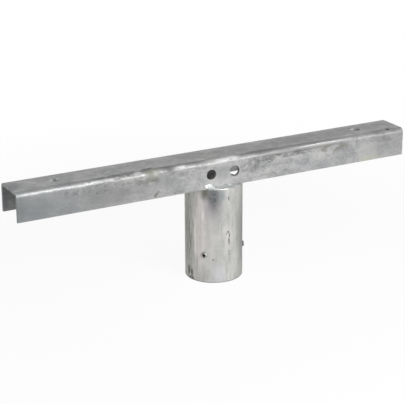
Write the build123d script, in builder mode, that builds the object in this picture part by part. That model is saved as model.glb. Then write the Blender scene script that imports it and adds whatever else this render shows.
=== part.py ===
from build123d import *
import math
import os

# Steel crossarm for the top of a pole. A pressed channel lies across a short
# socket tube, open side down, and is welded to the tube's upper rim. The tube
# slips over the pole and is clamped on it by set screws.
# The origin is on the socket's axis at its lower rim. X runs along the beam
# and Z runs up the socket. All sizes are in millimetres and degrees.

# Beam, a channel pressed from plate
beam_length = 660.0
beam_width = 60.0
beam_height = 44.0
beam_wall = 4.0
bend_inner_radius = 3.0
cut_edge_break = 0.4

# Socket tube
socket_diameter = 88.9
socket_wall = 4.0
socket_length = 150.0
rim_chamfer = 0.8

# Holes in the beam
side_hole_diameter = 16.0
side_hole_spacing = 40.0
end_hole_diameter = 12.0
end_hole_to_end = 70.0

# Set screws, evenly spaced round the socket
screw_count = 3
screw_diameter = 10.0
screw_turn = 102.0
screw_height = 45.0
screw_proud = 2.5
screw_thread_clearance = 0.1
screw_chamfer = 0.8
socket_key_width = 5.0
socket_key_depth = 4.0

# Welds that close the ledges between the flanges and the rim
weld_leg = 5.0
weld_lip = 1.2

# Sizes that follow
bend_outer_radius = bend_inner_radius + beam_wall
beam_underside = socket_length
beam_top = beam_underside + beam_height
flange_face = beam_width / 2
side_hole_level = beam_underside + beam_height / 2
end_hole_spacing = beam_length - 2 * end_hole_to_end
socket_radius = socket_diameter / 2
bore_radius = socket_radius - socket_wall
screw_length = socket_wall + screw_proud
thread_radius = screw_diameter / 2


def around_socket(angle, radius):
    """Plane that faces out of the socket at a turn about its axis, at screw height."""
    turn = math.radians(angle)
    out = Vector(math.cos(turn), math.sin(turn), 0)
    return Plane(origin=out * radius + Vector(0, 0, screw_height), x_dir=(0, 0, 1), z_dir=out)


screw_angles = [screw_turn + 360 / screw_count * i for i in range(screw_count)]

# Channel beam: the section is two nested rectangles, rounded at the web
with BuildPart() as channel_beam:
    with BuildSketch(Plane.YZ.offset(-beam_length / 2)) as section:
        with Locations((0, beam_underside)):
            Rectangle(beam_width, beam_height, align=(Align.CENTER, Align.MIN))
        fillet(section.vertices().group_by(Axis.Y)[-1], bend_outer_radius)
        with BuildSketch(mode=Mode.SUBTRACT) as trough:
            with Locations((0, beam_underside)):
                Rectangle(
                    beam_width - 2 * beam_wall,
                    beam_height - beam_wall,
                    align=(Align.CENTER, Align.MIN),
                )
            fillet(trough.vertices().group_by(Axis.Y)[-1], bend_inner_radius)
    extrude(amount=beam_length)
    lower_edges = channel_beam.edges().filter_by(Axis.X).group_by(Axis.Z)[0]
    chamfer(lower_edges, cut_edge_break)
    # two holes through both flanges, on either side of the socket's axis
    with BuildSketch(Plane.XZ.offset(-flange_face)):
        with Locations((0, side_hole_level)):
            with GridLocations(side_hole_spacing, 0, 2, 1):
                Circle(side_hole_diameter / 2)
    extrude(amount=beam_width, mode=Mode.SUBTRACT)
    # one hole through the web near each end
    with BuildSketch(Plane.XY.offset(beam_top)):
        with GridLocations(end_hole_spacing, 0, 2, 1):
            Circle(end_hole_diameter / 2)
    extrude(amount=-bend_outer_radius, mode=Mode.SUBTRACT)

# Socket tube, open at both ends, with a tapped hole for each screw
with BuildPart() as socket_tube:
    with BuildSketch():
        Circle(socket_radius)
        Circle(bore_radius, mode=Mode.SUBTRACT)
    extrude(amount=socket_length)
    outer_rim_edge = socket_tube.edges().group_by(Axis.Z)[0].sort_by(Edge.length)[-1]
    chamfer(outer_rim_edge, rim_chamfer)
    for angle in screw_angles:
        with BuildSketch(around_socket(angle, 0)):
            Circle(thread_radius)
        extrude(amount=socket_diameter, mode=Mode.SUBTRACT)


def weld_bead(side):
    """Fillet that fills the ledge outside one flange: a wedge cut to the rim's circle."""
    toe = side * flange_face
    rim = side * socket_radius
    half_chord = math.sqrt(socket_radius**2 - flange_face**2)
    with BuildPart() as bead:
        with BuildSketch(Plane.YZ):
            with BuildLine():
                Polyline(
                    (toe, beam_underside),
                    (rim, beam_underside),
                    (rim, beam_underside + weld_lip),
                    (toe, beam_underside + weld_leg),
                    close=True,
                )
            make_face()
        extrude(amount=half_chord, both=True)
        with BuildSketch(Plane.XY.offset(beam_underside)):
            Circle(socket_radius)
        extrude(amount=weld_leg, mode=Mode.INTERSECT)
    return bead.part


def set_screw(angle):
    """Headless screw with a hexagon key socket, its point level with the bore."""
    with BuildPart() as screw:
        with BuildSketch(around_socket(angle, bore_radius)):
            Circle(thread_radius - screw_thread_clearance)
        extrude(amount=screw_length)
        chamfer(screw.edges().filter_by(GeomType.CIRCLE), screw_chamfer)
        with BuildSketch(around_socket(angle, bore_radius + screw_length)):
            RegularPolygon(socket_key_width / 2, 6, major_radius=False)
        extrude(amount=-socket_key_depth, mode=Mode.SUBTRACT)
    return screw.part


pieces = {
    "channel_beam": channel_beam.part,
    "socket_tube": socket_tube.part,
    "weld_front": weld_bead(-1),
    "weld_back": weld_bead(1),
}
for number, angle in enumerate(screw_angles, start=1):
    pieces[f"set_screw_{number}"] = set_screw(angle)

os.makedirs("parts", exist_ok=True)
for name, piece in pieces.items():
    piece.label = name
    export_step(piece, f"parts/{name}.step")
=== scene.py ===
# Galvanised crossarm for a pole top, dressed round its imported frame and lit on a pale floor.
import math
import bmesh
import bpy
import numpy as np
from mathutils import Matrix, Vector


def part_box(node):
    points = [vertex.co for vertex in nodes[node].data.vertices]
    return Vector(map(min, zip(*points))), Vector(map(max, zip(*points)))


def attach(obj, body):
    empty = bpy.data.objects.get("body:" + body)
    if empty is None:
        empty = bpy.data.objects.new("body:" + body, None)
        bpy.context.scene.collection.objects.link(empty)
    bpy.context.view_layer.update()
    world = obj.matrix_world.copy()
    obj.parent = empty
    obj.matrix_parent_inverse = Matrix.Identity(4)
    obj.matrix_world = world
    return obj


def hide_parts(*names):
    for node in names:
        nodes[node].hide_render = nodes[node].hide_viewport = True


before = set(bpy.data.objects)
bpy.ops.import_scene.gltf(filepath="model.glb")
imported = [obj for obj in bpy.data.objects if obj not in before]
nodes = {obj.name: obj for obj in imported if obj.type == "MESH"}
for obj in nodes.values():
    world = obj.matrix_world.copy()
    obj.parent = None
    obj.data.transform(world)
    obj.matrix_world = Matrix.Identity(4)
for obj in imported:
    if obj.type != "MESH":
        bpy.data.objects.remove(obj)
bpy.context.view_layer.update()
print("stage: frame loaded")

mm = 0.001
beamLow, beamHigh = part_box("channel_beam")
tubeLow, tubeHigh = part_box("socket_tube")
tubeRadius = (tubeHigh.x - tubeLow.x) / 2
flangeY = (beamHigh.y - beamLow.y) / 2      # half the beam's width, to the flange's outer face
rimZ = tubeHigh.z                           # upper rim of the socket, where the flanges sit


# Shader helpers: each adds nodes to a tree and returns the socket that carries the result

def newTree(name):
    material = bpy.data.materials.new(name)
    material.use_nodes = True
    material.node_tree.nodes.clear()
    return material, material.node_tree


def addNode(tree, kind, **settings):
    made = tree.nodes.new(kind)
    for key, value in settings.items():
        setattr(made, key, value)
    return made


def plug(tree, source, socket):
    if isinstance(source, bpy.types.NodeSocket):
        tree.links.new(source, socket)
    else:
        socket.default_value = source


def maths(tree, operation, first, second):
    made = addNode(tree, "ShaderNodeMath", operation=operation)
    plug(tree, first, made.inputs[0])
    plug(tree, second, made.inputs[1])
    return made.outputs[0]


# value from low to high becomes start to end, eased at both ends; low may be the larger
def ramp(tree, value, low, high, start=0.0, end=1.0):
    made = addNode(tree, "ShaderNodeMapRange", interpolation_type="SMOOTHSTEP")
    plug(tree, value, made.inputs["Value"])
    limits = {"From Min": low, "From Max": high, "To Min": start, "To Max": end}
    for name, number in limits.items():
        made.inputs[name].default_value = number
    return made.outputs[0]


def mixColour(tree, factor, under, over):
    made = addNode(tree, "ShaderNodeMix", data_type="RGBA")
    plug(tree, factor, made.inputs[0])
    plug(tree, under, made.inputs[6])       # a Mix node's A and B for colours
    plug(tree, over, made.inputs[7])
    return made.outputs[2]


def placed(tree, point, scale, shift=(0, 0, 0)):
    made = addNode(tree, "ShaderNodeMapping", vector_type="POINT")
    plug(tree, point, made.inputs["Vector"])
    made.inputs["Scale"].default_value = scale
    made.inputs["Location"].default_value = shift
    return made.outputs[0]


# grain is the pattern's pitch in millimetres along X, Y and Z
def cloud(tree, point, grain, detail, roughness, shift=(0, 0, 0)):
    made = addNode(tree, "ShaderNodeTexNoise")
    scale = tuple(1 / (pitch * mm) for pitch in grain)
    tree.links.new(placed(tree, point, scale, shift), made.inputs["Vector"])
    made.inputs["Scale"].default_value = 1.0
    made.inputs["Detail"].default_value = detail
    made.inputs["Roughness"].default_value = roughness
    return made.outputs[0]


# one grey for each zinc crystal, from 0 to 1; pitch is in millimetres
def spangle(tree, point, pitch):
    made = addNode(tree, "ShaderNodeTexVoronoi", feature="F1")
    tree.links.new(placed(tree, point, (1 / (pitch * mm),) * 3), made.inputs["Vector"])
    made.inputs["Scale"].default_value = 1.0
    grey = addNode(tree, "ShaderNodeSeparateColor")
    tree.links.new(made.outputs["Color"], grey.inputs[0])
    return grey.outputs[0]


# 1 within the share edge of an ellipsoid's reach, easing to 0 at its skin
def spot(tree, point, centre, reach, edge):
    scale = tuple(1 / (r * mm) for r in reach)
    shift = tuple(-c * mm * s for c, s in zip(centre, scale))
    length = addNode(tree, "ShaderNodeVectorMath", operation="LENGTH")
    tree.links.new(placed(tree, point, scale, shift), length.inputs[0])
    return ramp(tree, length.outputs["Value"], 1.0, edge, 0.0, 1.0)


# the point pushed about by a noise, by half of push in millimetres at most, to tear a mark's edge
def warpedPoint(tree, point, grain, push):
    noise = addNode(tree, "ShaderNodeTexNoise")
    noise.inputs["Scale"].default_value = 1 / (grain * mm)
    noise.inputs["Detail"].default_value = zinc["tearDetail"]
    tree.links.new(point, noise.inputs["Vector"])
    centred = addNode(tree, "ShaderNodeVectorMath", operation="SUBTRACT")
    tree.links.new(noise.outputs["Color"], centred.inputs[0])
    centred.inputs[1].default_value = (0.5, 0.5, 0.5)
    scaled = addNode(tree, "ShaderNodeVectorMath", operation="SCALE")
    tree.links.new(centred.outputs[0], scaled.inputs[0])
    scaled.inputs["Scale"].default_value = push * mm
    added = addNode(tree, "ShaderNodeVectorMath", operation="ADD")
    tree.links.new(point, added.inputs[0])
    tree.links.new(scaled.outputs[0], added.inputs[1])
    return added.outputs[0]


# What every zinc finish shares. A noise is its detail, roughness and shift, a tone is the span of
# a noise over which the next colour comes in, and a relief is that noise's share of the height.
zinc = {
    "wideNoise": (5.0, 0.6), "fineNoise": (5.0, 0.7, (3.1, 1.7, 5.3)),
    "streakNoise": (4.0, 0.6, (7.7, 2.9, 1.1)), "brokenNoise": (4.0, 0.65, (5.0, 9.0, 2.0)),
    "wideTone": (0.34, 0.66), "streakTone": (0.5, 0.74), "stainTone": (0.56, 0.8),
    "brightTone": (0.44, 0.2), "flakeTone": (0.0, 1.0), "dullTone": (0.3, 0.7),
    "tearDetail": 3.0, "wideRelief": 0.5, "fineRelief": 0.4, "reliefHeight": 0.6, "roughest": 0.9,
}


# A mark is a soft ellipsoid of another colour, in millimetres. Torn follows the warped point,
# broken lets it show only where a noise of that grain passes the gate, dull adds to the
# roughness and lift to the relief.
def mark(centre, reach, colour, strength, edge=0.4, torn=True, broken=None, gate=(0.42, 0.6),
         dull=0.0, lift=0.0):
    return {"centre": centre, "reach": reach, "colour": colour, "strength": strength, "edge": edge,
            "torn": torn, "broken": broken, "gate": gate, "dull": dull, "lift": lift}


# base plus a share of extra
def plusShare(tree, base, extra, share):
    return maths(tree, "ADD", base, maths(tree, "MULTIPLY", extra, share))


def zincMaterial(name, look):
    material, tree = newTree(name)
    output = addNode(tree, "ShaderNodeOutputMaterial")
    shader = addNode(tree, "ShaderNodeBsdfPrincipled")
    tree.links.new(shader.outputs[0], output.inputs["Surface"])
    point = addNode(tree, "ShaderNodeTexCoord").outputs["Object"]
    torn = warpedPoint(tree, point, look["tearGrain"], look["tearPush"])
    wide = cloud(tree, point, look["wideGrain"], *zinc["wideNoise"])
    fine = cloud(tree, torn, look["fineGrain"], *zinc["fineNoise"])
    streak = cloud(tree, torn, look["streakGrain"], *zinc["streakNoise"])
    flakes = spangle(tree, torn, look["flake"])
    colour = mixColour(tree, ramp(tree, wide, *zinc["wideTone"]), look["dark"], look["light"])
    layers = (      # a noise, its tone, how strongly it shows and the colour it brings
        (streak, "streakTone", "streakDepth", "streak"),
        (fine, "stainTone", "fineDepth", "stain"),
        (fine, "brightTone", "fineDepth", "bright"),
        (flakes, "flakeTone", "flakeDepth", "bright"),
    )
    for noise, tone, depth, tint in layers:
        share = ramp(tree, noise, *zinc[tone], 0.0, look[depth])
        colour = mixColour(tree, share, colour, look[tint])
    relief = maths(tree, "MULTIPLY", wide, zinc["wideRelief"])
    relief = plusShare(tree, relief, fine, zinc["fineRelief"])
    relief = plusShare(tree, relief, streak, look["streakRelief"])
    dullness = ramp(tree, fine, *zinc["dullTone"], *look["roughness"])
    for each in look["marks"]:
        outline = torn if each["torn"] else point
        where = spot(tree, outline, each["centre"], each["reach"], each["edge"])
        if each["broken"]:
            gate = cloud(tree, torn, each["broken"], *zinc["brokenNoise"])
            where = maths(tree, "MULTIPLY", where, ramp(tree, gate, *each["gate"]))
        share = maths(tree, "MULTIPLY", where, each["strength"])
        colour = mixColour(tree, share, colour, each["colour"])
        if each["lift"]:
            relief = plusShare(tree, relief, where, each["lift"])
        if each["dull"]:
            dullness = plusShare(tree, dullness, where, each["dull"])
    tree.links.new(colour, shader.inputs["Base Color"])
    tree.links.new(maths(tree, "MINIMUM", dullness, zinc["roughest"]), shader.inputs["Roughness"])
    shader.inputs["Metallic"].default_value = look["metallic"]
    bump = addNode(tree, "ShaderNodeBump")
    bump.inputs["Strength"].default_value = look["bump"]
    bump.inputs["Distance"].default_value = zinc["reliefHeight"] * mm
    tree.links.new(relief, bump.inputs["Height"])
    tree.links.new(bump.outputs[0], shader.inputs["Normal"])
    return material


# Zinc of the beam: cool grey, mottled, with darker dross along the upper half of the front
# flange. Grains and pitches are in millimetres.
# dross colours, and the colours of painted shade and painted highlights on the beam
drossAndPaintedLight = {
    "ink": (0.03, 0.03, 0.035, 1), "dark": (0.10, 0.10, 0.098, 1),
    "shade": (0.14, 0.15, 0.155, 1), "brown": (0.16, 0.155, 0.135, 1),
    "blueShade": (0.158, 0.171, 0.177, 1), "grey": (0.17, 0.17, 0.168, 1),
    "olive": (0.19, 0.19, 0.15, 1), "crust": (0.285, 0.285, 0.245, 1),
    "straw": (0.42, 0.42, 0.31, 1), "pale": (0.56, 0.56, 0.54, 1), "bright": (0.72, 0.73, 0.73, 1),
}

beamLook = {
    "dark": (0.235, 0.24, 0.245, 1), "light": (0.365, 0.365, 0.36, 1),
    "streak": (0.165, 0.165, 0.158, 1), "streakDepth": 0.6, "streakRelief": 0.2,
    "stain": (0.14, 0.14, 0.135, 1), "bright": (0.52, 0.52, 0.52, 1),
    "fineDepth": 0.7, "flakeDepth": 0.2, "flake": 3.4,
    "wideGrain": (34, 26, 24), "fineGrain": (10, 7, 7), "streakGrain": (70, 5, 7),
    "tearGrain": 14, "tearPush": 8, "metallic": 0.45, "roughness": (0.38, 0.58), "bump": 0.4,
    "marks": [
        # painted shade along the front flange's two arms and on the web, and a lighter patch over
        # the socket
        mark((-345, -30, 165), (230, 8, 60), drossAndPaintedLight["blueShade"], 0.85, edge=0.0),
        mark((345, -30, 170), (170, 8, 60), drossAndPaintedLight["grey"], 0.35, edge=0.0),
        mark((0, 0, 196), (330, 27, 6), drossAndPaintedLight["grey"], 0.25),
        mark((210, 0, 196), (220, 27, 6), drossAndPaintedLight["grey"], 0.5),
        mark((0, -30, 158), (42, 5, 12), drossAndPaintedLight["pale"], 0.2, edge=0.0),
        mark((-185, -30, 168), (75, 8, 36), drossAndPaintedLight["grey"], 0.7, edge=0.0),
        mark((-105, -30, 170), (60, 8, 30), drossAndPaintedLight["grey"], 0.35, edge=0.0),
        mark((0, -30, 176), (34, 8, 16), drossAndPaintedLight["grey"], 0.3, edge=0.0),
        mark((-330, 26, 170), (70, 3, 34), drossAndPaintedLight["shade"], 0.6),
        # painted light on the back flange's inner face, behind the right-hand hole of the front
        # flange
        mark((48, 26, 160), (14, 3, 16), drossAndPaintedLight["pale"], 0.7),
        mark((205, -13, 194), (42, 13, 5), drossAndPaintedLight["brown"], 0.35, edge=0.0),
        # painted shade along the bend and its upper half, to narrow its highlight
        mark((-30, -27, 192), (330, 7, 6), drossAndPaintedLight["grey"], 0.4, torn=False),
        mark((165, -27, 192), (180, 7, 6), drossAndPaintedLight["grey"], 0.4, torn=False),
        mark((-30, -24, 194.5), (420, 5, 2.4), drossAndPaintedLight["grey"], 0.6, torn=False, dull=0.2),
        # painted highlight on the bend over the socket
        mark((0, -25, 194), (40, 7, 6), drossAndPaintedLight["pale"], 0.5, dull=0.25),
        mark((8, -27, 192.5), (28, 5, 4), drossAndPaintedLight["bright"], 0.5, dull=0.1),
        mark((20, 2, 196), (170, 26, 5), drossAndPaintedLight["brown"], 0.22, edge=0.0),
        # painted shade on the front flange just under the bend
        mark((140, -30, 188), (125, 3, 5), drossAndPaintedLight["grey"], 0.75, torn=False),
        mark((-326, 4, 194), (22, 30, 6), drossAndPaintedLight["shade"], 0.75, edge=0.0),
        mark((-330, -30, 172), (26, 5, 50), drossAndPaintedLight["shade"], 0.5, edge=0.0),
        # dross below the bend
        mark((-205, -30, 180), (75, 8, 12), drossAndPaintedLight["dark"], 0.75,
             broken=(8, 8, 6), gate=(0.42, 0.66)),
        mark((-128, -30, 180), (35, 8, 12), drossAndPaintedLight["dark"], 0.6, broken=(9, 8, 8)),
        mark((-50, -30, 183), (60, 8, 9), drossAndPaintedLight["grey"], 0.7, broken=(14, 8, 7)),
        mark((66, -30, 178), (34, 8, 14), drossAndPaintedLight["dark"], 0.75, broken=(9, 8, 5)),
        mark((118, -30, 184), (56, 8, 6), drossAndPaintedLight["dark"], 0.75, broken=(16, 8, 5)),
        mark((48, -30, 174), (26, 8, 18), drossAndPaintedLight["grey"], 0.7, broken=(6, 8, 6)),
        mark((195, -30, 181), (45, 8, 9), drossAndPaintedLight["brown"], 0.8, broken=(20, 8, 12)),
        mark((292, -30, 182), (30, 8, 9), drossAndPaintedLight["grey"], 0.7, broken=(12, 8, 9)),
        mark((-150, -30, 158), (60, 8, 12), drossAndPaintedLight["grey"], 0.35, broken=(20, 8, 6)),
        # bend: painted highlight lines and spots on smoother zinc, dulled by crusts between the
        # clean stretches
        mark((-285, -28.7, 191.0), (62, 1.6, 1.6), drossAndPaintedLight["bright"], 0.2, torn=False, dull=-0.24),
        mark((-165, -25, 193), (60, 9, 6), drossAndPaintedLight["grey"], 0.65,
             broken=(6, 6, 6), gate=(0.4, 0.52), dull=0.3),
        mark((-200, -28.4, 191.5), (45, 2.4, 2.0), drossAndPaintedLight["bright"], 0.38,
             torn=False, broken=(5, 5, 5), gate=(0.4, 0.52)),
        mark((-141, -26, 193), (9, 6, 5), drossAndPaintedLight["bright"], 0.45, dull=0.15),
        mark((-117, -27, 189), (18, 9, 11), drossAndPaintedLight["crust"], 0.9, edge=0.3, dull=0.35),
        mark((-121, -18, 195), (15, 4, 4), drossAndPaintedLight["dark"], 0.8, dull=0.3),
        mark((-120, -30, 179), (16, 4, 3), drossAndPaintedLight["olive"], 0.7, dull=0.3),
        mark((-113, -28, 188), (8, 5, 5), drossAndPaintedLight["pale"], 0.6, dull=0.3),
        mark((-91, -26, 191), (14, 9, 9), drossAndPaintedLight["grey"], 0.85, dull=0.3),
        mark((-70, -27.5, 192.5), (11, 4, 3), drossAndPaintedLight["bright"], 0.45, dull=-0.12),
        mark((72, -24, 194), (38, 9, 6), drossAndPaintedLight["grey"], 0.6,
             broken=(9, 8, 8), gate=(0.3, 0.45), dull=0.35),
        mark((180, -28.6, 191.2), (66, 1.7, 1.6), drossAndPaintedLight["bright"], 0.6, torn=False, dull=-0.22),
        mark((300, -25, 193), (52, 9, 6), drossAndPaintedLight["grey"], 0.4, dull=0.35),
        # single marks
        mark((266, -30, 153), (34, 6, 12), drossAndPaintedLight["straw"], 0.42, edge=0.0),
        mark((-114, -30, 154.5), (3.6, 4, 3.6), drossAndPaintedLight["dark"], 0.65, torn=False),
        mark((-111.5, -30, 157), (3.4, 4, 3.4), drossAndPaintedLight["dark"], 0.55, torn=False),
        mark((-109, -30, 160), (2.6, 4, 3.2), drossAndPaintedLight["dark"], 0.5, torn=False),
        # painted shade in a ring round the edge of the front flange's right-hand hole
        mark((20, -30, 172), (9.4, 3, 9.4), drossAndPaintedLight["dark"], 0.55, edge=0.85, torn=False),
        mark((304, -23.5, 194), (5, 4, 4), drossAndPaintedLight["ink"], 0.9),
        mark((241, -29, 185), (2.6, 5, 11), drossAndPaintedLight["brown"], 0.55, torn=False, lift=0.8),
        mark((245, -15, 194), (2.6, 12, 3), drossAndPaintedLight["brown"], 0.6, torn=False, lift=0.8),
        # painted highlights on the far walls of the end holes
        mark((-263, 4, 194), (3.4, 3, 4), drossAndPaintedLight["bright"], 0.8, torn=False),
        mark((-254, 3, 194), (2.6, 3, 4), drossAndPaintedLight["bright"], 0.7, torn=False),
        mark((256, 4, 193.5), (6, 4, 4), drossAndPaintedLight["bright"], 0.9, torn=False),
    ],
}

# Zinc of the socket: brighter, with upright drawing streaks and a scorched patch under the weld
socketTint = {
    "black": (0.05, 0.05, 0.048, 1), "scorch": (0.085, 0.097, 0.10, 1),
    "soot": (0.12, 0.12, 0.10, 1), "plumShade": (0.15, 0.145, 0.155, 1),
    "olive": (0.15, 0.15, 0.115, 1), "duskShade": (0.175, 0.175, 0.163, 1),
    "khaki": (0.20, 0.19, 0.14, 1), "slate": (0.20, 0.225, 0.235, 1),
    "haze": (0.22, 0.21, 0.22, 1), "ash": (0.22, 0.22, 0.225, 1),
    "grey": (0.24, 0.24, 0.225, 1), "lilac": (0.38, 0.33, 0.38, 1),
    "lavender": (0.58, 0.58, 0.61, 1), "pink": (0.68, 0.635, 0.62, 1),
    "pale": (0.86, 0.84, 0.78, 1), "chalkLight": (0.9, 0.9, 0.9, 1),
}

tubeLook = {
    "dark": (0.38, 0.38, 0.37, 1), "light": (0.50, 0.495, 0.48, 1),
    "streak": (0.25, 0.25, 0.22, 1), "streakDepth": 0.6, "streakRelief": 0.5,
    "stain": (0.28, 0.28, 0.265, 1), "bright": (0.66, 0.65, 0.64, 1),
    "fineDepth": 0.35, "flakeDepth": 0.08, "flake": 5.0,
    "wideGrain": (22, 22, 46), "fineGrain": (8, 8, 14), "streakGrain": (3.4, 3.4, 60),
    "tearGrain": 14, "tearPush": 4, "metallic": 0.5, "roughness": (0.34, 0.55), "bump": 0.35,
    "marks": [
        # upright staining at the left, pale drawing marks beside it, painted shade down the right
        # side
        mark((-46, 8, 75), (10, 20, 130), socketTint["olive"], 0.65, edge=0.0),
        mark((-44.5, -5, 85), (6, 8, 95), socketTint["olive"], 0.8,
             broken=(2.6, 2.6, 26), gate=(0.47, 0.58)),
        mark((-35, -27, 80), (12, 12, 90), socketTint["olive"], 0.35,
             broken=(1.8, 1.8, 34), gate=(0.54, 0.64)),
        mark((-40, -19, 127), (1.9, 2.4, 14), socketTint["khaki"], 0.75, edge=0.1, torn=False),
        mark((-41.2, -16.6, 72), (2.6, 3.6, 54), socketTint["pale"], 0.8, edge=0.2),
        mark((-34, -28.6, 110), (3.6, 3.6, 16), socketTint["pale"], 0.5, edge=0.1),
        mark((-37, -23, 80), (14, 14, 90), socketTint["pink"], 0.7,
             broken=(3.0, 3.0, 50), gate=(0.3, 0.55)),
        # painted shade down the socket's right side
        mark((34, -30, 75), (29, 29, 150), socketTint["duskShade"], 0.95, edge=0.0),
        mark((37, -25, 75), (9, 9, 150), socketTint["plumShade"], 0.6, edge=0.2),
        # painted shade round the lower rim, where the socket stands on the floor
        mark((0, 0, -1), (400, 400, 3.4), socketTint["black"], 0.8, torn=False),      # lower rim
        # painted light on the socket's inner wall at the back
        mark((15, 34, 145), (9, 6, 11), socketTint["chalkLight"], 0.95, edge=0.2),         # inner wall
        mark((-15, -42, 15), (20, 11, 28), socketTint["lavender"], 0.6, edge=0.0),
        mark((-44, -6, 10), (8, 10, 18), socketTint["olive"], 0.5, edge=0.0),
        # scorched under the weld
        mark((-20, -40, 124), (18, 16, 42), socketTint["haze"], 0.8, edge=0.0),
        mark((-21.5, -39.5, 140), (14, 14, 27), socketTint["scorch"], 0.97, edge=0.15),
        mark((-31.5, -31, 145), (12, 12, 19), socketTint["soot"], 0.9, edge=0.1),
        mark((-21.5, -39.5, 132), (14, 14, 26), socketTint["ash"], 0.7,
             broken=(3.5, 3.5, 4.5), gate=(0.46, 0.6)),
        mark((-30, -33, 120), (8, 8, 24), socketTint["lilac"], 0.6, edge=0.0),
        mark((-9, -43, 142), (9, 8, 18), socketTint["slate"], 0.85, edge=0.0),
        # single marks
        mark((1.6, -44, 135), (1.5, 4, 5), socketTint["black"], 0.85, torn=False),
        mark((-3.0, -44, 136), (1.0, 4, 3), socketTint["grey"], 0.7),
        mark((2.2, -44, 67), (1.5, 4, 8), socketTint["black"], 0.9, torn=False),
        mark((3.0, -44, 76), (1.4, 4, 5), socketTint["black"], 0.85, torn=False),
        mark((0.8, -44, 81.5), (2.8, 4, 1.8), socketTint["black"], 0.9, torn=False),
        mark((-2.2, -44, 79), (1.2, 4, 2), socketTint["black"], 0.7, torn=False),
        mark((1.8, -44, 49), (1.2, 4, 5), socketTint["grey"], 0.9, torn=False),
        mark((4.0, -44, 44.5), (2.4, 4, 1.5), socketTint["grey"], 0.9, torn=False),
        mark((6.2, -44, 49), (0.9, 4, 4), socketTint["grey"], 0.8, torn=False),
        mark((-22, -38.5, 38.5), (2.0, 4, 3), socketTint["grey"], 0.9),
        mark((-44.4, -1.8, 14.5), (6, 3.0, 11), socketTint["black"], 0.95, torn=False),
        mark((-43.6, -9.6, 12), (5, 2.4, 8), socketTint["black"], 0.9, torn=False),
        mark((-43, -9, 3), (5, 6.5, 5), socketTint["black"], 0.85, torn=False),
        mark((-44, -6.4, 8), (4, 2.0, 2.5), socketTint["pink"], 0.85, torn=False),
        mark((-43.4, -8.6, 3.6), (4, 1.4, 1.6), socketTint["pink"], 0.7, torn=False),
    ],
}


def dress(piece, material):
    piece.data.materials.clear()
    piece.data.materials.append(material)


dress(nodes["channel_beam"], zincMaterial("beamZinc", beamLook))
dress(nodes["socket_tube"], zincMaterial("socketZinc", tubeLook))
print("stage: zinc laid on the beam and socket")


# A mesh from a grid of points: each quad joins two neighbours along a row and the two below them,
# and the columns close into a ring
def ringMesh(name, grid):
    rows, columns = grid.shape[:2]
    r, c = (a.ravel() for a in np.meshgrid(np.arange(rows - 1), np.arange(columns), indexing="ij"))
    nextColumn = (c + 1) % columns
    quads = np.stack([r * columns + c, r * columns + nextColumn,
                      (r + 1) * columns + nextColumn, (r + 1) * columns + c], axis=1)
    mesh = bpy.data.meshes.new(name)
    mesh.from_pydata(grid.reshape(-1, 3).tolist(), [], quads.tolist())
    mesh.update()
    return mesh


# merges what meets at the tips of a surface, then turns every face outwards
def cleanMesh(mesh, mergeWithin=0.01 * mm):
    work = bmesh.new()
    work.from_mesh(mesh)
    bmesh.ops.remove_doubles(work, verts=work.verts, dist=mergeWithin)
    bmesh.ops.recalc_face_normals(work, faces=work.faces)
    work.to_mesh(mesh)
    work.free()
    mesh.update()


def finishedPiece(name, mesh, material, replaced):
    piece = bpy.data.objects.new(name, mesh)
    bpy.context.scene.collection.objects.link(piece)
    cleanMesh(mesh)
    dress(piece, material)
    mesh.shade_smooth()
    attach(piece, "root")
    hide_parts(*replaced)


# Weld: a bead that fills the ledge between a flange and the rim. Lengths are in millimetres.
weld = {
    "stations": 240, "across": 28, "inset": 0.15, "endFade": 2.5, "leastHeight": 0.05,
    "lip": 1.1, "toeLeft": 7.5, "toeRight": 1.4, "toeBend": 0.7, "sag": 0.55,
    "blobHeight": 2.2, "blobX": -22.0, "blobWidth": 5.0,
    "ripplePitch": 2.6, "rippleBow": 0.8, "rippleHeight": 0.22,
    "wanderHeight": 0.35, "wanderRate": 0.37, "wanderStart": 1.0,
}

weldTint = {
    "soot": (0.12, 0.12, 0.10, 1), "shade": (0.20, 0.20, 0.205, 1), "bead": (0.60, 0.62, 0.61, 1),
    "crest": (0.70, 0.72, 0.71, 1), "toe": (0.78, 0.79, 0.79, 1), "pip": (0.80, 0.80, 0.81, 1),
    "blob": (0.84, 0.86, 0.85, 1),
}

weldLook = {
    "dark": (0.36, 0.38, 0.38, 1), "light": (0.50, 0.52, 0.51, 1),
    "streak": (0.28, 0.29, 0.29, 1), "streakDepth": 0.3, "streakRelief": 0.2,
    "stain": (0.28, 0.29, 0.28, 1), "bright": (0.66, 0.67, 0.66, 1),
    "fineDepth": 0.4, "flakeDepth": 0.1, "flake": 3.0,
    "wideGrain": (12, 8, 6), "fineGrain": (5, 5, 4), "streakGrain": (5, 20, 20),
    "tearGrain": 6, "tearPush": 2, "metallic": 0.55, "roughness": (0.26, 0.45), "bump": 0.3,
    "marks": [
        mark((-20.5, -34, 154), (6.5, 9, 6), weldTint["bead"], 0.9,
             edge=0.0, broken=(3.5, 3.5, 3.5), gate=(0.36, 0.5)),
        mark((-19, -37, 153.5), (3.4, 5, 4), weldTint["blob"], 0.9, edge=0.1),
        mark((-29, -34, 151), (4, 5, 2.5), weldTint["soot"], 0.75, edge=0.1),
        mark((-15, -40, 152), (7, 4, 3), weldTint["crest"], 0.75),
        # painted highlights along the bead's two toes, at the flange's lower edge and at the rim's
        # outer edge
        mark((-7, -31.5, 154.5), (16, 1.8, 1.8), weldTint["toe"], 0.8),
        mark((-6, -43.6, 151), (14, 1.6, 1.6), weldTint["toe"], 0.8),
        mark((10, -33, 153), (5, 4, 3), weldTint["pip"], 0.85),
        mark((24, -34, 151), (12, 3, 3), weldTint["shade"], 0.7),
    ],
}


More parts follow.
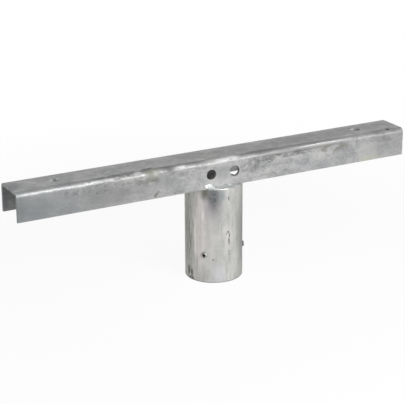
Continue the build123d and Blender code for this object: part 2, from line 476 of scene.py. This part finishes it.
# A bead's section is carried along X. It spans from the flange to the rim's circle, whose Y is
# the root of the radius squared less X squared. Its height falls from the toe on the flange to
# the lip by a power of the distance across, the toe sinks from left to right and swells in a bell
# at the blob, a sine along X makes the ripples and a slower one the wander, and all of it fades
# to nothing where the ledge ends.
def weldMesh(side):
    halfChord = math.sqrt(tubeRadius ** 2 - flangeY ** 2)
    along = np.linspace(-1, 1, weld["stations"])
    x = (halfChord * np.sin(along * math.pi / 2))[:, None]
    across = np.linspace(0, 1, weld["across"])[None, :]
    rimY = np.sqrt(np.maximum(tubeRadius ** 2 - x ** 2, flangeY ** 2)) - weld["inset"] * mm
    rimY = np.maximum(rimY, flangeY)
    y = flangeY + (rimY - flangeY) * across
    fromLeft = -side * x          # the back bead is the front one turned half round
    share = (fromLeft / halfChord + 1) / 2
    toe = weld["toeLeft"] + (weld["toeRight"] - weld["toeLeft"]) * share ** weld["toeBend"]
    leftMm = fromLeft / mm
    toe = toe + weld["blobHeight"] * np.exp(-((leftMm - weld["blobX"]) / weld["blobWidth"]) ** 2)
    slope = (1 - across) ** (1 + weld["sag"])
    arch = np.sin(math.pi * across)
    bowed = leftMm / weld["ripplePitch"] + weld["rippleBow"] * across ** 2
    ripple = weld["rippleHeight"] * np.sin(2 * math.pi * bowed) * arch
    sway = np.sin(leftMm * weld["wanderRate"] + weld["wanderStart"])
    wander = sway * weld["wanderHeight"] * arch
    height = weld["lip"] + (toe - weld["lip"]) * slope + ripple + wander
    fade = np.clip((rimY - flangeY) / (weld["endFade"] * mm), 0, 1)
    top = rimZ + np.maximum(height * fade, weld["leastHeight"]) * mm
    topGrid = np.stack([np.broadcast_to(x, y.shape), side * y, top], axis=-1)
    underGrid = topGrid[:, ::-1].copy()
    underGrid[..., 2] = rimZ
    return ringMesh("weld", np.concatenate([topGrid, underGrid], axis=1))


weldZinc = zincMaterial("weldZinc", weldLook)
for side, name in ((-1, "front"), (1, "back")):
    finishedPiece("weldBead_" + name, weldMesh(side), weldZinc, ["weld_" + name])
print("stage: weld beads laid")


# Set screw: a threaded stub with a key socket. Lengths are in millimetres.
screw = {
    "turnSteps": 96, "perPitch": 10, "pitch": 1.5, "threadDepth": 0.75,
    "radius": 4.9, "length": 6.5, "seat": 4.0, "chamfer": 0.9,
    "keyHalf": 2.5, "keyDepth": 4.0, "keyLead": 0.35, "keyLeadDepth": 0.3,
    "drillTip": 0.8, "innerRing": 2.0, "poleRadius": 0.02, "keyShadeDepth": 2.35,
}
screwNodes = [f"set_screw_{number}" for number in (1, 2, 3)]
screwTip = tubeRadius / mm - screw["seat"]      # from the socket's axis to a screw's inner end


# the screw's direction away from the socket's axis, and its height
def screwAxis(node):
    low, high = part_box(node)
    middle = (low + high) / 2
    angle = math.atan2(middle.y, middle.x)
    return np.array([math.cos(angle), math.sin(angle), 0.0]), middle.z / mm


# where painted shade darkens a key socket
def keyShadePlace(node):
    out, height = screwAxis(node)
    return tuple(out * (screwTip + screw["length"] - screw["keyShadeDepth"]) + (0, 0, height))


screwTint = {"keyShade": (0.012, 0.012, 0.012, 1), "shadow": (0.08, 0.075, 0.085, 1)}

screwLook = {
    "dark": (0.26, 0.26, 0.25, 1), "light": (0.38, 0.38, 0.36, 1),
    "streak": (0.20, 0.19, 0.17, 1), "streakDepth": 0.4, "streakRelief": 0.1,
    "stain": (0.20, 0.19, 0.17, 1), "bright": (0.50, 0.50, 0.49, 1),
    "fineDepth": 0.4, "flakeDepth": 0.05, "flake": 2.0,
    "wideGrain": (5, 5, 5), "fineGrain": (2, 2, 2), "streakGrain": (3, 3, 9),
    "tearGrain": 4, "tearPush": 1, "metallic": 0.6, "roughness": (0.35, 0.55), "bump": 0.3,
    # painted shade deep in each key socket
    "marks": [mark(keyShadePlace(node), (3.4, 3.4, 3.4), screwTint["keyShade"], 0.97, edge=0.7)
              for node in screwNodes]
    + [mark((43.8, -14.2, 45), (7, 7, 7), screwTint["shadow"], 0.95)],      # the right-hand stub
}


# A screw's surface is a radius and a depth for each turn angle and each step along a profile.
# The thread is a triangle wave of depth over pitch less the turn, so it climbs one pitch a turn.
# The key's radius at an angle is half its width over the cosine from the nearest flat's middle.
def screwMesh(node):
    out, height = screwAxis(node)
    side = np.array([-out[1], out[0], 0.0])
    up = np.array([0.0, 0.0, 1.0])
    length, radius, chamfer, pitch = (screw[k] for k in ("length", "radius", "chamfer", "pitch"))
    turn = np.linspace(0, 2 * math.pi, screw["turnSteps"], endpoint=False)[None, :]
    shankSteps = int(length / pitch * screw["perPitch"])
    depth = np.linspace(0, length, shankSteps)[:, None]
    phase = (depth / pitch - turn / (2 * math.pi)) % 1.0
    ridge = 1 - np.abs(2 * phase - 1)
    taper = np.clip(np.minimum(depth, length - depth) / chamfer, 0, 1)
    crest = radius - chamfer * (1 - taper)
    shank = np.minimum(radius - screw["threadDepth"] * (1 - ridge), crest)
    hexagon = screw["keyHalf"] / np.cos((turn + math.pi / 6) % (math.pi / 3) - math.pi / 6)
    flat = np.ones_like(turn)
    keyFloor = length - screw["keyDepth"]
    rings = [(screw["poleRadius"] * flat, 0 * flat), (screw["innerRing"] * flat, 0 * flat)]
    rings += [(shank[i:i + 1], depth[i, 0] * flat) for i in range(shankSteps)]
    rings += [(hexagon + screw["keyLead"], length * flat)]
    rings += [(hexagon, (length - screw["keyLeadDepth"]) * flat), (hexagon, keyFloor * flat)]
    rings += [(screw["poleRadius"] * flat, (keyFloor - screw["drillTip"]) * flat)]
    across = np.concatenate([ring[0] for ring in rings])
    reach = np.concatenate([ring[1] for ring in rings]) + screwTip
    place = (reach[..., None] * out + (across * np.cos(turn))[..., None] * up
             + (across * np.sin(turn))[..., None] * side)
    place[..., 2] += height
    return ringMesh("screw", place * mm)


screwZinc = zincMaterial("screwZinc", screwLook)
for number, node in enumerate(screwNodes, start=1):
    finishedPiece(f"setScrew_{number}", screwMesh(node), screwZinc, [node])
print("stage: set screws threaded")


# Camera: angles in degrees, distance and offsets in metres from the top of the socket
view = {
    "azimuth": -28.27, "elevation": 19.48, "roll": -0.29, "distance": 2.167,
    "lens": 126.6, "sensor": 36.0, "aside": -0.01756, "above": -0.03206,
}


# right, up and back of a camera that looks at the object from an azimuth and elevation
def viewAxes(azimuth, elevation, roll):
    a, e, r = (math.radians(v) for v in (azimuth, elevation, roll))
    back = Vector((math.sin(a) * math.cos(e), -math.cos(a) * math.cos(e), math.sin(e)))
    right = (-back).cross(Vector((0, 0, 1))).normalized()
    up = right.cross(-back)
    tilted = right * math.cos(r) + up * math.sin(r)
    return tilted, up * math.cos(r) - right * math.sin(r), back


def placeCamera():
    right, up, back = viewAxes(view["azimuth"], view["elevation"], view["roll"])
    camera = bpy.data.cameras.new("camera")
    camera.lens = view["lens"]
    camera.sensor_width = view["sensor"]
    holder = bpy.data.objects.new("camera", camera)
    bpy.context.scene.collection.objects.link(holder)
    eye = Vector((0, 0, rimZ)) + back * view["distance"]
    eye += right * view["aside"] + up * view["above"]
    turned = Matrix((right, up, back)).transposed().to_4x4()
    holder.matrix_world = Matrix.Translation(eye) @ turned
    bpy.context.scene.camera = holder


# Lamps: soft rectangles aimed at the top of the socket, in metres and watts
lamps = {
    "frontSoftbox": {"place": (0.3, -1.55, 0.8), "size": (1.1, 0.9), "power": 30},
    "overheadStrip": {"place": (0.45, -0.85, 1.5), "size": (1.4, 0.14), "power": 3.5},
    "leftFill": {"place": (-2.2, -0.4, 0.9), "size": (1.2, 1.2), "power": 5},
}


def hangLamp(name, lamp):
    light = bpy.data.lights.new(name, "AREA")
    light.shape = "RECTANGLE"
    light.size, light.size_y = lamp["size"]
    light.energy = lamp["power"]
    holder = bpy.data.objects.new(name, light)
    bpy.context.scene.collection.objects.link(holder)
    holder.location = lamp["place"]
    aim = Vector((0, 0, rimZ)) - holder.location
    holder.rotation_euler = aim.to_track_quat("-Z", "Y").to_euler()


# Floor and room: within nearBy metres the floor glows by nearShare only, and keeps some shadow
studio = {
    "floorHalf": 12.0, "floorTone": (0.86, 0.86, 0.86, 1), "nearBy": 0.3, "farOff": 1.0,
    "nearShare": 0.93, "farShare": 1.0, "white": (1, 1, 1, 1), "ambient": 0.184,
}


# 1 where the camera, a reflection or a refraction looks, 0 for every other ray
def seenWhite(tree):
    path = addNode(tree, "ShaderNodeLightPath")
    seen = maths(tree, "MAXIMUM", path.outputs["Is Camera Ray"], path.outputs["Is Glossy Ray"])
    return maths(tree, "MAXIMUM", seen, path.outputs["Is Transmission Ray"])


def layFloor():
    material, tree = newTree("paleFloor")
    output = addNode(tree, "ShaderNodeOutputMaterial")
    mixed = addNode(tree, "ShaderNodeMixShader")
    matt = addNode(tree, "ShaderNodeBsdfDiffuse")
    matt.inputs["Color"].default_value = studio["floorTone"]
    glow = addNode(tree, "ShaderNodeEmission")
    glow.inputs["Strength"].default_value = 1.0
    point = addNode(tree, "ShaderNodeTexCoord").outputs["Object"]
    away = addNode(tree, "ShaderNodeVectorMath", operation="LENGTH")
    tree.links.new(point, away.inputs[0])
    glowShare = ramp(tree, away.outputs["Value"], studio["nearBy"], studio["farOff"],
                     studio["nearShare"], studio["farShare"])
    share = maths(tree, "MULTIPLY", seenWhite(tree), glowShare)
    tree.links.new(share, mixed.inputs[0])
    tree.links.new(matt.outputs[0], mixed.inputs[1])
    tree.links.new(glow.outputs[0], mixed.inputs[2])
    tree.links.new(mixed.outputs[0], output.inputs["Surface"])
    half = studio["floorHalf"]
    corners = [(-half, -half, 0), (half, -half, 0), (half, half, 0), (-half, half, 0)]
    mesh = bpy.data.meshes.new("floor")
    mesh.from_pydata(corners, [], [(0, 1, 2, 3)])
    floor = bpy.data.objects.new("floor", mesh)
    bpy.context.scene.collection.objects.link(floor)
    mesh.materials.append(material)


def lightWorld():
    world = bpy.data.worlds.new("studio")
    bpy.context.scene.world = world
    world.use_nodes = True
    tree = world.node_tree
    tree.nodes.clear()
    output = addNode(tree, "ShaderNodeOutputWorld")
    glow = addNode(tree, "ShaderNodeBackground")
    glow.inputs["Color"].default_value = studio["white"]
    strength = ramp(tree, seenWhite(tree), 0.0, 1.0, studio["ambient"], 1.0)
    tree.links.new(strength, glow.inputs["Strength"])
    tree.links.new(glow.outputs[0], output.inputs["Surface"])


placeCamera()
for lampName, lamp in lamps.items():
    hangLamp(lampName, lamp)
layFloor()
lightWorld()
bpy.context.scene.view_settings.view_transform = "Standard"
print("stage: camera, lamps and floor set")
